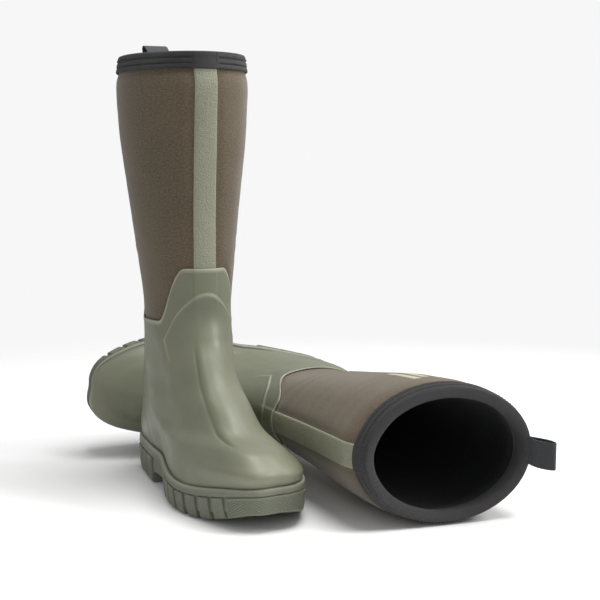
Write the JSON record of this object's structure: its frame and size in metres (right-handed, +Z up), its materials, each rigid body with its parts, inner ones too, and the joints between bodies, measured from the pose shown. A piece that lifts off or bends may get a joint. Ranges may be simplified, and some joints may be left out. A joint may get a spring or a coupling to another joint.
{
  "type": "insulated hunting boots",
  "caption": "Pair of tall insulated rubber boots with knit-faced neoprene shafts, lugged soles and webbing pull tabs; one stands, one lies on its side.",
  "frame": {"origin": "on the ground, under the middle of the standing boot's heel", "axes": "+Z up; -Y towards the standing boot's toe; +X towards its outer side"},
  "size_m": [0.3346, 0.4695, 0.4516],
  "materials": {
    "shell_rubber": "satin moulded rubber",
    "lug_rubber": "matt moulded rubber",
    "strip_rubber": "pebbled satin rubber",
    "neoprene": "fine jersey knit on foam",
    "binding": "ribbed elastic tape, stitched",
    "webbing": "woven webbing",
    "lining": "brushed knit",
    "insole_felt": "felt on foam",
    "foam": "closed-cell foam",
    "board": "pressed fibre board",
    "steel": "rolled strip",
    "print": "raised rubber print"
  },
  "bodies": {
    "left_boot": {"left_outsole": "lug_rubber", "left_midsole": "foam", "left_shank": "steel", "left_insole_board": "board", "left_foot_shell": "shell_rubber", "left_ankle_overlay": "shell_rubber", "left_toe_puff": "board", "left_heel_counter": "board", "left_outer_panel": "neoprene", "left_inner_panel": "neoprene", "left_lining": "lining", "left_shin_strip": "strip_rubber", "left_back_strip": "strip_rubber", "left_side_mark_front": "print", "left_side_mark_rear": "print", "left_binding": "binding"},
    "right_boot": {"right_outsole": "lug_rubber", "right_midsole": "foam", "right_shank": "steel", "right_insole_board": "board", "right_foot_shell": "shell_rubber", "right_ankle_overlay": "shell_rubber", "right_toe_puff": "board", "right_heel_counter": "board", "right_outer_panel": "neoprene", "right_inner_panel": "neoprene", "right_lining": "lining", "right_shin_strip": "strip_rubber", "right_back_strip": "strip_rubber", "right_side_mark_front": "print", "right_side_mark_rear": "print", "right_binding": "binding"},
    "left_tab": {"left_pull_tab": "webbing"},
    "right_tab": {"right_pull_tab": "webbing"},
    "left_insole_body": {"left_insole": "insole_felt"},
    "right_insole_body": {"right_insole": "insole_felt"}
  },
  "joints": [
    {"name": "left_boot_lift", "type": "slide", "parent": "right_boot", "child": "left_boot", "axis": [0, 0, 1], "range_m": [0, 0.35]},
    {"name": "left_tab_fold", "type": "hinge", "parent": "left_boot", "child": "left_tab", "pos_m": [0, 0.0745, 0.4326], "axis": [1, 0, 0], "range_deg": [-15, 110], "stiffness_Nm_per_rad": 0.01},
    {"name": "right_tab_fold", "type": "hinge", "parent": "right_boot", "child": "right_tab", "pos_m": [0.25134, -0.2672, 0.06358], "axis": [-0.014, 0, -0.9999], "range_deg": [-65, 60], "stiffness_Nm_per_rad": 0.01},
    {"name": "left_insole_lift", "type": "hinge", "parent": "left_boot", "child": "left_insole_body", "pos_m": [0, -0.21748, 0.04526], "axis": [1, 0, 0], "range_deg": [0, 6]},
    {"name": "right_insole_lift", "type": "hinge", "parent": "right_boot", "child": "right_insole_body", "pos_m": [-0.05441, 0.12014, 0.05331], "axis": [0.0489, 0, -0.9988], "range_deg": [0, 6]}
  ]
}
